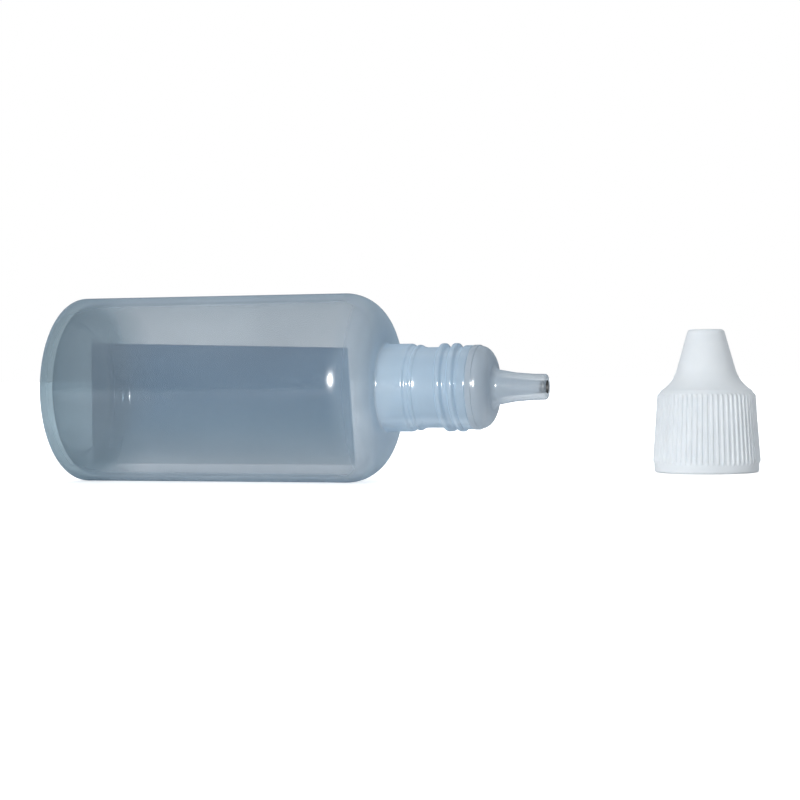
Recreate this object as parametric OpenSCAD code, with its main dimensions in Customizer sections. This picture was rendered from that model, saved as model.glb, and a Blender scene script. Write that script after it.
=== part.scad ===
// Squeezable dropper bottle, lying on its side, with a snap-in dropper tip and its cap set down beside it.
// The bottle's axis runs along X with the tip towards +X. The cap stands on its open end, its axis along Z.
// The origin is on the table, under the middle of the whole set.

/* [Bottle body] */
// Outer diameter of the body
body_d = 32; // [30:0.5:36]
// Length from the base to the foot of the neck
body_l = 57.5; // [50:0.5:75]
// Radius of the shoulder between body and neck
shoulder_r = 7.1; // [6:0.1:8]
// Radius of the rounded heel around the base
heel_r = 2.5; // [1.5:0.1:3]
// Thickness of the blown wall
wall = 1; // [0.8:0.1:1.3]
// Height of the push-up in the middle of the base
push_up = 1.4; // [0.8:0.1:2]

/* [Neck finish] */
// Diameter over the collar and the thread crests
finish_d = 14.74; // [14.6:0.02:14.8]
// Diameter at the root of the thread
root_d = 13.46; // [13.2:0.02:13.8]
// Diameter of the smooth bore that holds the dropper tip
bore_d = 10.4; // [10:0.1:11]
// Height of the neck above the shoulder
neck_h = 15.25; // [15:0.05:16.5]
// Axial distance between two turns, 12 to the inch
pitch = 2.117; // [2.0:0.001:2.2]
// Turns of thread on the neck
neck_turns = 1.85; // [1.2:0.05:1.9]

/* [Dropper tip] */
// Length of the nozzle from the flange to its mouth
nozzle_l = 11.3; // [9:0.1:11.5]
// Outer diameter of the nozzle at its mouth
mouth_d = 4.24; // [3.8:0.02:4.6]
// Diameter of the drop orifice
orifice_d = 2.1; // [1.6:0.1:2.2]
// Depth of the plug inside the neck
plug_l = 8.5; // [6:0.5:10]
// Radial gap between the plug's sealing beads and the bore
plug_gap = 0.05; // [0.03:0.01:0.1]

/* [Cap] */
// Height of the cap
cap_h = 25.9; // [25.7:0.1:28]
// Diameter over the ribs at the open end
skirt_d = 19.4; // [19.2:0.1:20.2]
// Diameter over the ribs where the skirt meets the shoulder
skirt_top_d = 17.7; // [17.6:0.1:18]
// Height of the ribbed skirt
skirt_h = 14.4; // [14.2:0.1:14.6]
// Number of grip ribs
ribs = 60; // [40:2:60]
// How far a rib stands out
rib_h = 0.28; // [0.15:0.01:0.3]

/* [Layout] */
// Distance of the cap's axis from the bottle's base, along X
cap_x = 104.5; // [98:0.1:130]
// Distance of the cap's axis behind the bottle's axis, along Y
cap_y = 43; // [40:0.2:80]

/* [Hidden] */
$fn = 96;

body_r = body_d / 2;
collar_r = finish_d / 2;
root_r = root_d / 2;
bore_r = bore_d / 2;
collar_h = 4.6;
groove_r = collar_r - 0.34;
bead_r = collar_r - 0.2;
land_r = collar_r - 0.37;
foot_fillet = 0.4;
recess_r = 12 * body_r / 16;
thread_start = 9.57;
thread_turn = 90;
sink = 0.25;
steps_per_turn = 24;
run_out = 40;

flange_r = collar_r - 0.32;
flange_t = 1;
plug_r = bore_r - 0.35;
plug_bore_r = plug_r - 0.9;
plug_bead_r = bore_r - plug_gap;
nozzle_foot_r = 2.85;
dome_h = 2.5;

rib_w = 0.5;
rim_h = 1.6;
nose_draft = 16;
slope = 32;
nose_flare_r = 6.6;
nose_top_r = 3.5;
nose_wall = 1.3;
cap_mouth_r = 8;
cap_bore_r = 7.5;
cap_crest_r = 6.95;
cap_mouth_h = 2;
cap_thread_start = 4.4;
cap_turns = 1.9;

// The set is centred on the origin from above.
set_l = cap_x + skirt_d / 2;
set_w = body_r + cap_y + skirt_d / 2;
base_x = -set_l / 2;
bottle_y = body_r - set_w / 2;

// Points on an arc, in degrees counted anticlockwise
function arc(centre, r, from, to, n = 10) =
    [for (i = [0:n]) let (a = from + (to - from) * i / n) centre + r * [cos(a), sin(a)]];

// Points on one quarter of an ellipse, from its rim inwards and upwards
function quarter(centre, half_w, h, n = 10) =
    [for (i = [0:n]) let (a = 90 * i / n) centre + [half_w * cos(a), h * sin(a)]];

// Stands the bottle's own axis, which is drawn along Z from its base, into its place along X.
module lay_down() {
    translate([base_x, bottle_y, body_r]) rotate([0, 90, 0]) children();
}

module stand_cap() {
    translate([base_x + cap_x, bottle_y + cap_y, 0]) children();
}

// One right-hand screw thread about Z, with its ends running out into the wall.
// side is 1 for a thread that stands outwards and -1 for one that stands inwards.
module thread(wall_r, crest_r, start, turns, side) {
    n = round(turns * steps_per_turn);
    foot_w = 1.5;
    crest_w = 0.5;
    points = [
        for (i = [0:n])
            let (
                a = 360 * i / steps_per_turn,
                z = start + pitch * i / steps_per_turn,
                rise = min(1, a / run_out, (360 * turns - a + 1) / run_out),
                r = wall_r + side * (max(rise, 0.04) * abs(crest_r - wall_r)),
                foot = wall_r - side * sink
            )
            for (p = [[foot, -foot_w], [r, -crest_w], [r, crest_w], [foot, foot_w]])
                [p[0] * cos(a), p[0] * sin(a), z + side * p[1] / 2]
    ];
    skin = [
        for (i = [0:n - 1]) for (j = [0:3])
            let (a = 4 * i + j, b = 4 * i + (j + 1) % 4)
            for (face = [[a, b, b + 4], [a, b + 4, a + 4]]) face
    ];
    ends = [[3, 2, 1], [3, 1, 0], [4 * n, 4 * n + 1, 4 * n + 2], [4 * n, 4 * n + 2, 4 * n + 3]];
    polyhedron(points, concat(skin, ends), convexity = 6);
}

// Outline of the body and neck from the axis at the base, round the outside and back down the inside
function bottle_outline() =
    let (
        neck = body_l,
        rim = body_l + neck_h,
        hub_r = body_r - shoulder_r,
        hub_z = body_l - shoulder_r
    )
    concat(
        [[0, push_up], [recess_r - 1.2, push_up - 0.3], [recess_r, 0]],
        arc([body_r - heel_r, heel_r], heel_r, -90, 0),
        arc([hub_r, hub_z], shoulder_r, 0, 90, 12),
        arc([collar_r + foot_fillet, neck + foot_fillet], foot_fillet, 270, 180, 4),
        [[collar_r, neck + collar_h], [groove_r, neck + collar_h + 0.3]],
        [[groove_r, neck + collar_h + 0.8]],
        arc([bead_r - 0.45, neck + collar_h + 1.3], 0.45, -60, 60, 6),
        [[root_r, neck + collar_h + 2.5], [root_r, rim - 1.7], [land_r, rim - 1.4]],
        [[land_r, rim], [bore_r + 0.3, rim], [bore_r, rim - 0.3]],
        [[bore_r, neck - wall + 0.5], [bore_r + 0.5, neck - wall]],
        arc([hub_r, hub_z], shoulder_r - wall, 90, 0, 12),
        arc([body_r - heel_r - 0.6, heel_r + 1.6], heel_r + 0.6 - wall, 0, -90, 6),
        [[recess_r - 1.4, push_up + wall - 0.3], [0, push_up + wall]]
    );

module bottle() {
    color([0.62, 0.68, 0.74, 0.6]) lay_down() {
        rotate_extrude() polygon(bottle_outline());
        translate([0, 0, body_l]) rotate([0, 0, thread_turn])
            thread(root_r, collar_r - 0.01, thread_start, neck_turns, 1);
    }
}

// Outline of the tip from the bottom of its plug, with height 0 at the neck's rim
function tip_outline() =
    let (
        dome_r = nozzle_foot_r + 0.9,
        end = flange_t + nozzle_l,
        mouth_r = mouth_d / 2,
        orifice_r = orifice_d / 2
    )
    concat(
        [[plug_bore_r, -plug_l], [plug_r - 0.3, -plug_l], [plug_r, -plug_l + 0.6]],
        [for (z = [-5.6, -2]) for (p = [[plug_r, -0.6], [plug_bead_r, -0.2],
            [plug_bead_r, 0.2], [plug_r, 0.6]]) [p[0], z + p[1]]],
        [[plug_r, 0], [flange_r, 0], [flange_r, flange_t]],
        quarter([dome_r, flange_t], flange_r - 0.15 - dome_r, dome_h - 0.1),
        arc([dome_r + 0.2, flange_t + dome_h + 1], 1.1, 260, 180, 6),
        [[nozzle_foot_r - 0.45, flange_t + 6], [mouth_r + 0.05, end - 2.4]],
        arc([mouth_r - 0.4, end - 0.4], 0.4, 0, 90, 5),
        [[orifice_r, end], [orifice_r, end - 1.2], [1.6, flange_t + 3.2]],
        [[plug_bore_r, flange_t - 0.4]]
    );

module dropper_tip() {
    color([0.66, 0.71, 0.76, 0.6]) lay_down() translate([0, 0, body_l + neck_h])
        rotate_extrude() polygon(tip_outline());
}

// Outline of the nose from the top of the skirt up. inset moves it into the wall.
function nose_outline(inset) =
    let (
        flare_z = cap_h - 7.2,
        hub = [nose_top_r + (7.2 - 1.1) * tan(nose_draft) + nose_flare_r * cos(nose_draft),
            flare_z + nose_flare_r * sin(nose_draft)],
        edge = 0.8 - min(inset, 0.5),
        top_z = cap_h - inset,
        top_r = hub[0] - (nose_flare_r + inset) / cos(nose_draft) - (top_z - edge - hub[1])
            * tan(nose_draft)
    )
    concat(
        arc(hub, nose_flare_r + inset, 270 - slope, 180 + nose_draft, 12),
        arc([top_r - edge, top_z - edge], edge, nose_draft, 90, 6)
    );

module cap_shell() {
    corner_r = skirt_top_d / 2 - rib_h;
    outside = concat(
        [[0, 0], [skirt_d / 2 - rib_h - 0.3, 0], [skirt_d / 2 - rib_h, 0.3]],
        [[skirt_d / 2 - rib_h, rim_h], [corner_r, skirt_h - 0.15], [corner_r - 0.2, skirt_h + 0.1]],
        nose_outline(0),
        [[0, cap_h]]
    );
    inside = concat(
        [[0, -1], [cap_mouth_r, -1], [cap_mouth_r, cap_mouth_h]],
        [[cap_bore_r, cap_mouth_h + 0.3], [cap_bore_r, skirt_h - 0.6]],
        nose_outline(nose_wall),
        [[0, cap_h - nose_wall]]
    );
    rotate_extrude() difference() {
        polygon(outside);
        polygon(inside);
    }
}

// One grip rib in the XZ plane, following the skirt's draft
module rib() {
    low_r = skirt_d / 2;
    high_r = skirt_top_d / 2;
    rotate([90, 0, 0]) linear_extrude(rib_w, center = true)
        polygon([[low_r - 0.6, rim_h], [low_r - 0.15, rim_h], [low_r, rim_h + 0.3],
            [high_r, skirt_h - 0.3], [high_r - 0.2, skirt_h], [high_r - 0.6, skirt_h - 0.1]]);
}

module screw_cap() {
    color([0.93, 0.94, 0.95]) stand_cap() {
        cap_shell();
        for (i = [0:ribs - 1]) rotate([0, 0, (i + 0.5) * 360 / ribs]) rib();
        thread(cap_bore_r, cap_crest_r, cap_thread_start, cap_turns, -1);
        // Spigot that closes the orifice
        translate([0, 0, cap_h - nose_wall - 1.4]) cylinder(h = 1.7, r = orifice_d / 2 - 0.1);
    }
}

bottle();
dropper_tip();
screw_cap();
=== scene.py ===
import math

import bpy
import numpy as np
from mathutils import Matrix, Vector


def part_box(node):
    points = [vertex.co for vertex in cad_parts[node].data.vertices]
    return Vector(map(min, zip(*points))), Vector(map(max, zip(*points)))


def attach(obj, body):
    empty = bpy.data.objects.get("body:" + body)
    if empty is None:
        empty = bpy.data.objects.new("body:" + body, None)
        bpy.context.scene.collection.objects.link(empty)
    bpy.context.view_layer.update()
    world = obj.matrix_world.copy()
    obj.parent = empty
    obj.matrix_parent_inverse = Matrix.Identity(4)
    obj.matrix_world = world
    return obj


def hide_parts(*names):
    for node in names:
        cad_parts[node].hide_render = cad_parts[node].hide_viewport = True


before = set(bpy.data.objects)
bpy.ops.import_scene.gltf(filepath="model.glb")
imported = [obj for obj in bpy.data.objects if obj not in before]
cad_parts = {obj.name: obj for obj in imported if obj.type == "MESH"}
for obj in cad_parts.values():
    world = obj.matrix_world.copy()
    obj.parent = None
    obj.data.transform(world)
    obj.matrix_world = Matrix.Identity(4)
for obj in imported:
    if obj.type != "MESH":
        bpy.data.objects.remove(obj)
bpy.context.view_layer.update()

MM = 0.001

# ---------------------------------------------------------------- places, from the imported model
BOTTLE_LO, BOTTLE_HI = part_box("bottle")
CAP_LO, CAP_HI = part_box("screw_cap")
NOZZLE_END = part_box("dropper_tip")[1].x
BASE = Vector((BOTTLE_LO.x, (BOTTLE_LO.y + BOTTLE_HI.y) / 2, (BOTTLE_LO.z + BOTTLE_HI.z) / 2))
CAP_FOOT = Vector(((CAP_LO.x + CAP_HI.x) / 2, (CAP_LO.y + CAP_HI.y) / 2, CAP_LO.z))
TABLE_Z = min(BOTTLE_LO.z, CAP_LO.z)

# ---------------------------------------------------------------- sizes in mm, the same as the CAD model's
BODY_R = 16.0
BODY_L = 57.5
SHOULDER_R = 7.1
HEEL_R = 2.5
WALL = 1.0
RIM = (BOTTLE_HI.x - BOTTLE_LO.x) / MM
COLLAR_R = 7.37
ROOT_R = 6.73
BORE_R = 5.2
PITCH = 2.117
CAP_H = (CAP_HI.z - CAP_LO.z) / MM
RIBS = 60


# ---------------------------------------------------------------- outlines
def arc(z, r, radius, start, end, n=10):
    """Points (z, r) on an arc. Angle 0 points away from the axis and 90 along it."""
    angles = [math.radians(start + (end - start) * i / n) for i in range(n + 1)]
    return [(z + radius * math.sin(a), r + radius * math.cos(a)) for a in angles]


def soften(points, radius, closed=False, steps=3):
    """Rounds every corner of an outline by about radius, and keeps the bends that are already smooth."""
    pts = [np.array(p, float) for p in points]
    count = len(pts)
    out = []
    for i, p in enumerate(pts):
        if not closed and i in (0, count - 1):
            out.append(tuple(p))
            continue
        before, after = pts[i - 1] - p, pts[(i + 1) % count] - p
        len_a, len_b = np.linalg.norm(before), np.linalg.norm(after)
        turn = np.dot(before, after) / (len_a * len_b)
        if turn < -0.93:
            out.append(tuple(p))
            continue
        reach = min(radius, 0.4 * len_a, 0.4 * len_b)
        a, b = p + before / len_a * reach, p + after / len_b * reach
        for k in range(steps + 1):
            s = k / steps
            out.append(tuple((1 - s) ** 2 * a + 2 * s * (1 - s) * p + s * s * b))
    return out


def refine(points, low, high, step):
    """Adds points between low and high along the axis, so that a thread or ribs can be raised there."""
    out = [points[0]]
    for (z0, r0), (z1, r1) in zip(points, points[1:]):
        inside = min(z0, z1) < high and max(z0, z1) > low
        n = max(1, math.ceil(abs(z1 - z0) / step)) if inside else 1
        out += [(z0 + (z1 - z0) * k / n, r0 + (r1 - r0) * k / n) for k in range(1, n + 1)]
    return out


def thread_height(z, turn, start, turns, height):
    """How far a right-hand thread stands out at height z and at an angle given in turns (numpy arrays)."""
    best = np.zeros_like(z * turn)
    for k in range(-1, math.ceil(turns) + 1):
        along = turn + k
        offset = np.abs(z - (start + PITCH * along))
        ridge = np.clip((0.78 - offset) / 0.5, 0, 1)
        ends = np.clip(np.minimum(along, turns - along) * 360 / 40, 0, 1)
        best = np.maximum(best, ridge**2 * (3 - 2 * ridge) * ends**2 * (3 - 2 * ends))
    return height * best


# ---------------------------------------------------------------- turned meshes
def turned(name, outline, segments, place, raise_by=None, closed=False, **kept):
    """A turned mesh from an outline of (z, r) in mm. raise_by(z, r, turn) moves its surface outwards, in mm.

    place maps (x, y, z) in mm on the piece's own axis to world metres. Each further value is a function of z
    and outside, which is 1 on the outside and 0 within, and is kept on the mesh for the material to read.
    """
    z = np.array([p[0] for p in outline])
    r = np.array([p[1] for p in outline])
    rings = len(z)
    turn = np.arange(segments) / segments
    zz, tt = np.meshgrid(z, turn, indexing="ij")
    rr = np.repeat(r[:, None], segments, axis=1)
    if raise_by is not None:
        rr = rr + raise_by(zz, rr, tt)
    xs, ys = rr * np.cos(2 * np.pi * tt), rr * np.sin(2 * np.pi * tt)

    verts, places, index = [], [], np.zeros((rings, segments), int)
    top = int(np.argmax(z))
    for i in range(rings):
        count = 1 if r[i] < 1e-6 else segments
        index[i, :] = len(verts) + (np.arange(segments) if count > 1 else 0)
        verts += [place(x, y, z[i]) for x, y in zip(xs[i][:count], ys[i][:count])]
        places += [(z[i], 1.0 if i <= top else 0.0)] * count

    faces = []
    for i in range(rings if closed else rings - 1):
        low, high = index[i], index[(i + 1) % rings]
        for j in range(segments):
            k = (j + 1) % segments
            corners = [low[j], low[k], high[k], high[j]]
            face = list(dict.fromkeys(int(c) for c in corners))
            if len(face) > 2:
                faces.append(face)

    mesh = bpy.data.meshes.new(name)
    mesh.from_pydata(verts, [], faces)
    for key, value in kept.items():
        mesh.attributes.new(key, "FLOAT", "POINT").data.foreach_set("value", [float(value(*p)) for p in places])
    mesh.validate()
    mesh.shade_smooth()
    piece = bpy.data.objects.new(name, mesh)
    bpy.context.scene.collection.objects.link(piece)
    face_outwards(mesh)
    mesh.set_sharp_from_angle(angle=math.radians(50))
    return piece


def face_outwards(mesh):
    """Turns the mesh's faces so that the closed shell's volume is positive."""
    mesh.calc_loop_triangles()
    volume = 0.0
    for t in mesh.loop_triangles:
        a, b, c = (mesh.vertices[v].co for v in t.vertices)
        volume += a.dot(b.cross(c))
    if volume < 0:
        mesh.flip_normals()


def lying(x, y, z):
    """The bottle's own axis laid along +X, from the middle of its base."""
    return (BASE.x + z * MM, BASE.y + y * MM, BASE.z - x * MM)


def standing(x, y, z):
    """The cap's own axis along +Z, from the middle of its rim."""
    return (CAP_FOOT.x + x * MM, CAP_FOOT.y + y * MM, CAP_FOOT.z + z * MM)


# ---------------------------------------------------------------- pieces
def bottle_outline():
    neck, hub_r, hub_z = BODY_L, BODY_R - SHOULDER_R, BODY_L - SHOULDER_R
    outside = [(1.4, 0), (1.3, 5), (1.1, 10.8), (0, 12)]
    outside += arc(HEEL_R, BODY_R - HEEL_R, HEEL_R, -90, 0, 12)
    outside += [(hub_z * k / 8 + HEEL_R * (1 - k / 8), BODY_R) for k in range(1, 8)]
    outside += arc(hub_z, hub_r, SHOULDER_R, 0, 90, 20)
    outside += arc(neck + 0.4, COLLAR_R + 0.4, 0.4, 270, 180, 5)
    outside += [(neck + 4.6, COLLAR_R), (neck + 4.9, COLLAR_R - 0.34), (neck + 5.4, COLLAR_R - 0.34)]
    outside += arc(neck + 5.9, COLLAR_R - 0.65, 0.45, -60, 60, 8)
    outside += [(neck + 7.1, ROOT_R), (RIM - 1.7, ROOT_R), (RIM - 1.4, COLLAR_R - 0.37)]
    outside += [(RIM, COLLAR_R - 0.37)]
    inside = [(RIM, BORE_R + 0.3), (RIM - 0.3, BORE_R), (neck - 0.5, BORE_R), (neck - WALL, BORE_R + 0.5)]
    inside += arc(hub_z, hub_r, SHOULDER_R - WALL, 90, 0, 20)
    inside += arc(HEEL_R + 1.6, BODY_R - HEEL_R - 0.6, HEEL_R + 0.6 - WALL, 0, -90, 10)
    inside += [(2.1, 10.6), (2.4, 0)]
    return refine(soften(outside + inside, 0.22), neck + 7.3, RIM - 1.5, 0.14)


def neck_thread(z, r, turn):
    """The thread on the neck, which starts on the side away from the camera."""
    rise = thread_height(z, (turn - 0.25) % 1.0, BODY_L + 9.57, 1.85, COLLAR_R - ROOT_R - 0.01)
    on_neck = (r > 6.2) & (z > BODY_L + 7) & (r < 7.2)
    return np.where(on_neck, np.clip(rise - (r - ROOT_R), 0, None), 0)


def bottle_relief(z, r, turn):
    """The thread, and the fine line that the two halves of the mould leave along the body."""
    across = np.minimum(np.abs(turn - 0.125), np.abs(turn - 0.625)) * 2 * np.pi * r
    on_wall = (r > BODY_R - 0.05) & (z > 3) & (z < BODY_L - SHOULDER_R)
    return neck_thread(z, r, turn) + np.where(on_wall, 0.08 * np.clip(1 - across / 0.45, 0, 1), 0)


def bottle_milk(z, outside):
    """The blown wall is clearest along the body, and thicker at the heel, the shoulder and the neck."""
    return np.interp(z, [0, 2.6, 4.5, 52, 56, 58, 75], [0.05, 0.05, 0.0, 0.0, 0.25, 0.56, 0.56])


def bottle_depth(z, outside):
    """How much thicker, and so darker to look through, the base is than the wall."""
    return np.interp(z, [0, 2.5, 4.0, 75], [1.0, 1.0, 0.0, 0.0])


def make_bottle():
    kept = {"milk": bottle_milk, "depth": bottle_depth, "skin": lambda z, outside: outside}
    piece = turned("Bottle", bottle_outline(), 200, lying, bottle_relief, **kept)
    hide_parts("bottle")
    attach(piece, "bottle")
    piece.data.materials.append(squeeze_plastic("squeeze_plastic", 0.12, (0.60, 0.74, 0.86), (0.66, 0.80, 0.91)))
    return piece


def tip_outline():
    flange, mouth, foot = COLLAR_R - 0.32, 2.12, 2.85
    dome_r, end = foot + 0.9, 12.3
    pts = [(-8.5, 3.95), (-8.5, 4.55), (-7.9, 4.85)]
    for z in (-5.6, -2.0):
        pts += [(z - 0.6, 4.85), (z - 0.2, 5.15), (z + 0.2, 5.15), (z + 0.6, 4.85)]
    pts += [(0, 4.85), (0, flange), (1.0, flange)]
    for k in range(11):
        a = math.radians(9 * k)
        pts.append((1.0 + 2.4 * math.sin(a), dome_r + (flange - 0.15 - dome_r) * math.cos(a)))
    for k in range(260, 179, -10):
        a = math.radians(k)
        pts.append((4.5 + 1.1 * math.sin(a), 3.95 + 1.1 * math.cos(a)))
    pts += [(7.0, foot - 0.45), (end - 2.4, mouth + 0.05)]
    pts += arc(end - 0.4, mouth - 0.4, 0.4, 0, 90, 6)
    pts += [(end, 1.05), (end - 1.2, 1.05), (4.2, 1.6), (0.6, 3.95)]
    return soften(pts, 0.16, closed=True)


def tip_milk(z, outside):
    """The dome is the thickest part of the moulding, and the nozzle the thinnest."""
    return np.interp(z - RIM, [0, 3.4, 5.5, 12.3], [0.62, 0.62, 0.32, 0.28])


def make_tip():
    outline = [(z + RIM, r) for z, r in tip_outline()]
    kept = {"milk": tip_milk, "skin": lambda z, outside: outside}
    piece = turned("Dropper_tip", outline, 128, lying, closed=True, **kept)
    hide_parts("dropper_tip")
    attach(piece, "dropper_tip")
    piece.data.materials.append(squeeze_plastic("tip_plastic", 0.15, (0.60, 0.68, 0.75), (0.66, 0.74, 0.81)))
    # second material: painted shade inside the orifice
    piece.data.materials.append(painted_bore_shade())
    paint_bore_shade_faces(piece)
    return piece


def paint_bore_shade_faces(piece):
    """Gives the last of the narrow bore, where next to no light gets in, its own near-black material of painted
    shade.
    """
    mouth = NOZZLE_END - 1.25 * MM
    for face in piece.data.polygons:
        away = math.hypot(face.center.y - BASE.y, face.center.z - BASE.z)
        if face.center.x > mouth and away < 1.12 * MM:
            face.material_index = 1


def nose(inset):
    """Outline of the cap's nose from the top of its skirt up."""
    draft, flare_r, slope = math.radians(16), 6.6, 32
    hub_r = 3.5 + 6.1 * math.tan(draft) + flare_r * math.cos(draft)
    hub_z = CAP_H - 7.2 + flare_r * math.sin(draft)
    edge = 0.8 - min(inset, 0.5)
    top_z = CAP_H - inset
    top_r = hub_r - (flare_r + inset) / math.cos(draft) - (top_z - edge - hub_z) * math.tan(draft)
    return arc(hub_z, hub_r, flare_r + inset, 270 - slope, 196, 16) + arc(top_z - edge, top_r - edge, edge, 16, 90, 8)


def cap_outline():
    outside = [(CAP_H, 0)] + nose(0)[::-1]
    outside += [(14.5, 8.37), (14.25, 8.57), (1.6, 9.42), (0.3, 9.42), (0, 9.12)]
    inside = [(0, 8.0), (2.0, 8.0), (2.3, 7.5), (13.8, 7.5)] + nose(1.3)
    inside += [(CAP_H - 1.3, 0.95), (CAP_H - 2.7, 0.95), (CAP_H - 2.7, 0)]
    points = soften(outside + inside, 0.16)
    return refine(points, 1.4, 14.4, 0.3)


def cap_relief(z, r, turn):
    """Grip ribs on the outside of the skirt, and the thread on its inside."""
    skirt = 9.42 - (z - 1.6) * (9.42 - 8.57) / 12.65
    outer = np.abs(r - skirt) < 0.1
    phase = np.abs(((turn * RIBS - 0.5) % 1.0) - 0.5) * 2
    rib = np.clip((phase - 0.42) / 0.34, 0, 1)
    rib = rib**2 * (3 - 2 * rib)
    ends = np.clip((z - 1.62) / 0.35, 0, 1) * np.clip((14.3 - z) / 0.35, 0, 1)
    ribs = np.where(outer, 0.27 * rib * ends, 0)
    inner = (np.abs(r - 7.5) < 0.02) & (z > 2.4) & (z < 13.7)
    return ribs - np.where(inner, thread_height(z, turn, 4.4, 1.9, 0.55), 0)


def make_cap():
    piece = turned("Screw_cap", cap_outline(), RIBS * 10, standing, cap_relief)
    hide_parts("screw_cap")
    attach(piece, "screw_cap")
    piece.data.materials.append(cap_plastic())
    return piece


# ---------------------------------------------------------------- materials
def new_material(name):
    mat = bpy.data.materials.new(name)
    mat.use_nodes = True
    tree = mat.node_tree
    tree.nodes.clear()
    return mat, tree, tree.nodes.new("ShaderNodeOutputMaterial")


def node(tree, kind, **values):
    """A node with its input sockets set by name."""
    made = tree.nodes.new(kind)
    for key, value in values.items():
        made.inputs[key.replace("_", " ")].default_value = value
    return made


def noise(tree, scale, detail=3.0, stretch=(1, 1, 1)):
    """Noise in object space, in features per metre."""
    where = tree.nodes.new("ShaderNodeTexCoord")
    squeeze = tree.nodes.new("ShaderNodeMapping")
    squeeze.inputs["Scale"].default_value = stretch
    made = node(tree, "ShaderNodeTexNoise", Scale=scale, Detail=detail)
    tree.links.new(where.outputs["Object"], squeeze.inputs["Vector"])
    tree.links.new(squeeze.outputs["Vector"], made.inputs["Vector"])
    return made


def ramp(tree, source, stops):
    """A colour ramp over source, from (position, colour) stops."""
    made = tree.nodes.new("ShaderNodeValToRGB")
    made.color_ramp.elements[0].position, made.color_ramp.elements[0].color = stops[0]
    made.color_ramp.elements[1].position, made.color_ramp.elements[1].color = stops[-1]
    for position, colour in stops[1:-1]:
        made.color_ramp.elements.new(position).color = colour
    tree.links.new(source, made.inputs["Fac"])
    return made


def grey(value):
    return (value, value, value, 1)


def bumped(tree, source, strength, distance):
    made = node(tree, "ShaderNodeBump", Strength=strength, Distance=distance)
    tree.links.new(source, made.inputs["Height"])
    return made


def stored(tree, name):
    """A value that turned() kept on the mesh."""
    made = tree.nodes.new("ShaderNodeAttribute")
    made.attribute_name = name
    return made.outputs["Fac"]


def mix_colour(tree, kind, factor, first, second):
    made = tree.nodes.new("ShaderNodeMix")
    made.data_type = "RGBA"
    made.blend_type = kind
    for socket, value in ((made.inputs[0], factor), (made.inputs[6], first), (made.inputs[7], second)):
        if isinstance(value, (float, tuple)):
            socket.default_value = value
        else:
            tree.links.new(value, socket)
    return made.outputs[2]


def mix_shader(tree, factor, first, second):
    made = tree.nodes.new("ShaderNodeMixShader")
    if isinstance(factor, float):
        made.inputs["Fac"].default_value = factor
    else:
        tree.links.new(factor, made.inputs["Fac"])
    tree.links.new(first.outputs[0], made.inputs[1])
    tree.links.new(second.outputs[0], made.inputs[2])
    return made


def squeeze_plastic(name, haze, milk_low, milk_high):
    """Translucent blown polyethylene: see-through in the middle, milky and darker where the wall is seen edge on."""
    mat, tree, out = new_material(name)
    link = tree.links.new
    mottle = noise(tree, 90, 4, (0.5, 1, 1)).outputs["Fac"]
    edge = node(tree, "ShaderNodeLayerWeight", Blend=0.5).outputs["Facing"]

    # Light that goes straight through, with more lost over a longer way through the wall
    skin = stored(tree, "skin")
    tints = [(0.0, (0.85, 0.86, 0.87, 1)), (0.6, (0.80, 0.82, 0.835, 1))]
    tints += [(0.68, (0.58, 0.62, 0.65, 1)), (1.0, (0.42, 0.47, 0.51, 1))]
    path = ramp(tree, edge, tints)
    cloud = ramp(tree, mottle, [(0.3, grey(0.95)), (0.7, grey(1.0))])
    length = mix_colour(tree, "MIX", skin, (0.83, 0.84, 0.85, 1.0), path.outputs["Color"])
    tint = mix_colour(tree, "MULTIPLY", 1.0, length, cloud.outputs["Color"])
    thick = mix_colour(tree, "MULTIPLY", stored(tree, "depth"), tint, (0.52, 0.60, 0.63, 1.0))
    clear = tree.nodes.new("ShaderNodeBsdfTransparent")
    link(thick, clear.inputs["Color"])

    # Light scattered inside the wall
    milk = ramp(tree, mottle, [(0.3, (*milk_low, 1)), (0.7, (*milk_high, 1))]).outputs["Color"]
    diffuse = tree.nodes.new("ShaderNodeBsdfDiffuse")
    through = tree.nodes.new("ShaderNodeBsdfTranslucent")
    link(milk, diffuse.inputs["Color"])
    link(milk, through.inputs["Color"])
    body = mix_shader(tree, 0.45, diffuse, through)
    stops = [(0.0, grey(haze)), (0.5, grey(haze + 0.04)), (0.7, grey(haze + 0.24)), (1.0, grey(0.60))]
    grazing = mix_colour(tree, "MIX", skin, grey(haze), ramp(tree, edge, stops).outputs["Color"])
    amount = tree.nodes.new("ShaderNodeMath")
    amount.operation = "ADD"
    amount.use_clamp = True
    link(grazing, amount.inputs[0])
    link(stored(tree, "milk"), amount.inputs[1])
    wall = mix_shader(tree, amount.outputs[0], clear, body)

    # The waxy gloss, over very slight waves in the moulded surface
    waves = bumped(tree, noise(tree, 260, 2, (0.5, 1, 1)).outputs["Fac"], 0.10, 0.0003)
    gloss = node(tree, "ShaderNodeBsdfAnisotropic", Roughness=0.17)
    link(waves.outputs["Normal"], gloss.inputs["Normal"])
    shine = ramp(tree, edge, [(0.0, grey(0.035)), (0.6, grey(0.055)), (0.85, grey(0.13)), (1.0, grey(0.38))])
    sheen = mix_colour(tree, "MIX", skin, grey(0.018), shine.outputs["Color"])
    surface = mix_shader(tree, sheen, wall, gloss)
    link(surface.outputs[0], out.inputs["Surface"])
    return mat


def painted_bore_shade():
    """Painted shade: a near-black material for the inside of the drop orifice, in place of the deep shade there."""
    mat, tree, out = new_material("painted_orifice_shade")
    # near-black painted shade
    painted_darks = [(0.3, (0.010, 0.011, 0.013, 1)), (0.7, (0.020, 0.022, 0.025, 1))]
    shade = ramp(tree, noise(tree, 900, 2).outputs["Fac"], painted_darks)
    shader = node(tree, "ShaderNodeBsdfPrincipled", Roughness=0.6)
    tree.links.new(shade.outputs["Color"], shader.inputs["Base Color"])
    tree.links.new(shader.outputs[0], out.inputs["Surface"])
    return mat


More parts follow.
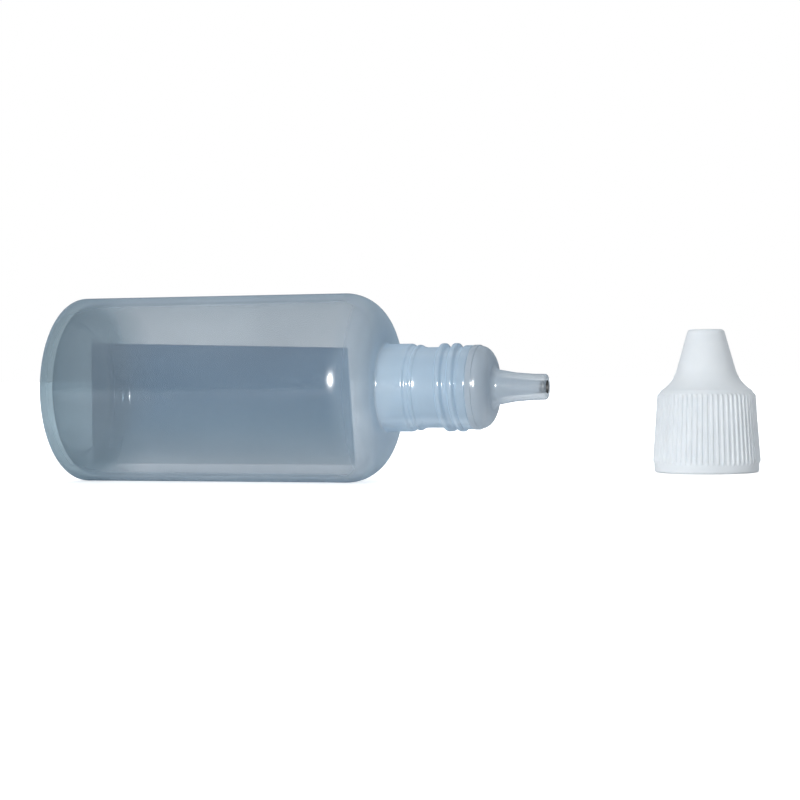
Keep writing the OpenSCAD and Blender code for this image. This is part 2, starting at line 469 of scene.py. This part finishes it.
def cap_plastic():
    """Opaque white polypropylene with a satin, very lightly grained surface."""
    mat, tree, out = new_material("cap_plastic")
    link = tree.links.new
    cloud = noise(tree, 160, 3)
    colour = ramp(tree, cloud.outputs["Fac"], [(0.3, (0.74, 0.775, 0.80, 1)), (0.7, (0.79, 0.82, 0.845, 1))])
    bump = bumped(tree, noise(tree, 2600, 2).outputs["Fac"], 0.10, 0.00005)
    shader = node(tree, "ShaderNodeBsdfPrincipled", Roughness=0.6, IOR=1.49)
    shader.inputs["Specular IOR Level"].default_value = 0.0
    shader.inputs["Subsurface Weight"].default_value = 0.25
    shader.inputs["Subsurface Radius"].default_value = (0.0012, 0.0013, 0.0014)
    shader.inputs["Subsurface Scale"].default_value = 1.0
    link(colour.outputs["Color"], shader.inputs["Base Color"])
    link(bump.outputs["Normal"], shader.inputs["Normal"])
    link(shader.outputs[0], out.inputs["Surface"])
    return mat


def floor_paint():
    """The pale table top. It glows to the camera only, more with distance, so that it runs into the white room."""
    mat, tree, out = new_material("pale_floor")
    link = tree.links.new
    pales = [(0.3, (0.93, 0.935, 0.94, 1)), (0.7, (0.95, 0.955, 0.96, 1))]
    colour = ramp(tree, noise(tree, 30, 2).outputs["Fac"], pales)
    diffuse = tree.nodes.new("ShaderNodeBsdfDiffuse")
    link(colour.outputs["Color"], diffuse.inputs["Color"])
    where = tree.nodes.new("ShaderNodeTexCoord")
    away = tree.nodes.new("ShaderNodeVectorMath")
    away.operation = "LENGTH"
    link(where.outputs["Object"], away.inputs[0])
    fade = ramp(tree, away.outputs["Value"], [(0.10, grey(0.58)), (0.55, grey(1.0))])
    glow = tree.nodes.new("ShaderNodeEmission")
    link(fade.outputs["Color"], glow.inputs["Color"])
    both = tree.nodes.new("ShaderNodeAddShader")
    link(diffuse.outputs[0], both.inputs[0])
    link(glow.outputs[0], both.inputs[1])
    seen = tree.nodes.new("ShaderNodeLightPath")
    pick = mix_shader(tree, seen.outputs["Is Camera Ray"], diffuse, both)
    link(pick.outputs[0], out.inputs["Surface"])
    return mat


def painted_shadow_material():
    """Painted shadow: an emitting card, blue above, fading to pale grey at the table. Only rays that came through the
    bottle see it.
    """
    mat, tree, out = new_material("painted_shadow_sheet")
    link = tree.links.new
    where = tree.nodes.new("ShaderNodeTexCoord")
    axes = tree.nodes.new("ShaderNodeSeparateXYZ")
    link(where.outputs["Object"], axes.inputs[0])
    height = tree.nodes.new("ShaderNodeMapRange")
    height.inputs["From Min"].default_value = TABLE_Z
    height.inputs["From Max"].default_value = TABLE_Z + 26 * MM
    link(axes.outputs["Z"], height.inputs["Value"])
    # painted shadow colours: pale grey at the table, dark blue higher up
    shadow_blues = [(0.0, (0.78, 0.84, 0.88, 1)), (0.10, (0.36, 0.45, 0.52, 1)), (0.3, (0.09, 0.21, 0.33, 1))]
    shadow_blues += [(0.5, (0.0, 0.11, 0.25, 1)), (1.0, (0.0, 0.07, 0.19, 1))]
    colour = ramp(tree, height.outputs["Result"], shadow_blues)
    mottle = ramp(tree, noise(tree, 25, 2).outputs["Fac"], [(0.3, grey(0.95)), (0.7, grey(1.0))])
    shade = mix_colour(tree, "MULTIPLY", 1.0, colour.outputs["Color"], mottle.outputs["Color"])
    paint = tree.nodes.new("ShaderNodeEmission")
    link(shade, paint.inputs["Color"])
    nothing = tree.nodes.new("ShaderNodeBsdfTransparent")
    path = tree.nodes.new("ShaderNodeLightPath")
    behind = tree.nodes.new("ShaderNodeMath")
    behind.operation = "GREATER_THAN"
    behind.inputs[1].default_value = 2.5
    link(path.outputs["Transparent Depth"], behind.inputs[0])
    pick = mix_shader(tree, behind.outputs[0], nothing, paint)
    link(pick.outputs[0], out.inputs["Surface"])
    return mat


# ---------------------------------------------------------------- studio
def make_floor():
    bpy.ops.mesh.primitive_plane_add(size=8, location=(0, 0, TABLE_Z - 0.00002))
    floor = bpy.context.object
    floor.name = "Floor"
    floor.data.materials.append(floor_paint())


def make_painted_shadow_card():
    """A card standing on the table behind the bottle, for its walls to be seen against: a painted shadow, in place of
    the bottle's own cast shadow behind it.
    """
    foot = Vector((BASE.x, BASE.y, TABLE_Z))
    corners = [(-26.5, 60, 0.05), (31.5, 60, 0.05), (30, 60, 23.6), (-26.5, 60, 25.2)]
    mesh = bpy.data.meshes.new("Shadow_card")
    mesh.from_pydata([foot + Vector(c) * MM for c in corners], [], [(0, 1, 2, 3)])
    mesh.materials.append(painted_shadow_material())
    card = bpy.data.objects.new("Shadow_card", mesh)
    bpy.context.scene.collection.objects.link(card)
    card.visible_shadow = card.visible_diffuse = card.visible_glossy = False


def area_light(name, place, aim, size, watts):
    data = bpy.data.lights.new(name, "AREA")
    data.size = size
    data.energy = watts
    lamp = bpy.data.objects.new(name, data)
    lamp.location = place
    lamp.rotation_mode = "QUATERNION"
    lamp.rotation_quaternion = (Vector(aim) - Vector(place)).to_track_quat("-Z", "Y")
    bpy.context.scene.collection.objects.link(lamp)
    return lamp


def make_world():
    """White to the camera. To everything else, a room that is bright above and dim at the sides."""
    world = bpy.data.worlds.new("Studio")
    bpy.context.scene.world = world
    world.use_nodes = True
    tree = world.node_tree
    room = tree.nodes["Background"]
    room.inputs["Strength"].default_value = 1.0
    where = tree.nodes.new("ShaderNodeTexCoord")
    split = tree.nodes.new("ShaderNodeSeparateXYZ")
    height = tree.nodes.new("ShaderNodeMath")
    height.operation = "ABSOLUTE"
    tree.links.new(where.outputs["Generated"], split.inputs[0])
    tree.links.new(split.outputs["Z"], height.inputs[0])
    tones = [(0.0, (0.13, 0.14, 0.15, 1)), (0.35, (0.24, 0.26, 0.28, 1)), (1.0, (0.75, 0.775, 0.80, 1))]
    tone = ramp(tree, height.outputs[0], tones)
    tree.links.new(tone.outputs["Color"], room.inputs["Color"])
    white = node(tree, "ShaderNodeBackground", Strength=1.0)
    white.inputs["Color"].default_value = (1, 1, 1, 1)
    seen = tree.nodes.new("ShaderNodeLightPath")
    pick = tree.nodes.new("ShaderNodeMixShader")
    tree.links.new(seen.outputs["Is Camera Ray"], pick.inputs["Fac"])
    tree.links.new(room.outputs[0], pick.inputs[1])
    tree.links.new(white.outputs[0], pick.inputs[2])
    tree.links.new(pick.outputs[0], tree.nodes["World Output"].inputs["Surface"])


def make_lights(camera):
    """Broad soft light from the front, above and behind, and a small lamp in front for the crisp highlights."""
    aim = BASE + Vector((0.06, 0.01, 0))
    front = area_light("Front", camera.location + Vector((-0.16, 0, 0.03)), aim, 0.14, 0.90)
    above = area_light("Overhead", Vector((0.0, -0.05, 0.7)), Vector((0, 0, 0)), 0.6, 0.4)
    behind = area_light("Behind", Vector((0.05, 0.5, 0.28)), aim, 0.4, 1.2)
    front.visible_glossy = above.visible_glossy = behind.visible_glossy = False
    lamp = area_light("Camera_lamp", camera.location + Vector((0, 0, 0.058)), aim, 0.014, 3.2)
    lamp.visible_diffuse = lamp.visible_transmission = False


def make_camera():
    """Stands in front of the set, turned a little to the left, about at the bottle's own height."""
    data = bpy.data.cameras.new("Camera")
    data.sensor_width = 36.0
    data.lens = 90.4
    data.clip_start, data.clip_end = 0.01, 20
    camera = bpy.data.objects.new("Camera", data)
    bpy.context.scene.collection.objects.link(camera)
    ground = Vector((BASE.x, BASE.y, TABLE_Z))
    camera.location = ground + Vector((160.1, -321.6, 18.7)) * MM
    turn = Matrix.Rotation(math.radians(17.34), 4, "Z") @ Matrix.Rotation(math.radians(90 - 0.81), 4, "X")
    camera.rotation_euler = (turn @ Matrix.Rotation(math.radians(-0.5), 4, "Z")).to_euler()
    bpy.context.scene.camera = camera
    return camera


bpy.context.scene.view_settings.view_transform = "Standard"
bpy.context.scene.cycles.transparent_max_bounces = 24
camera = make_camera()
make_bottle()
make_tip()
make_cap()
make_floor()
# the painted shadow card, seen only through the bottle's walls
make_painted_shadow_card()
make_world()
make_lights(camera)
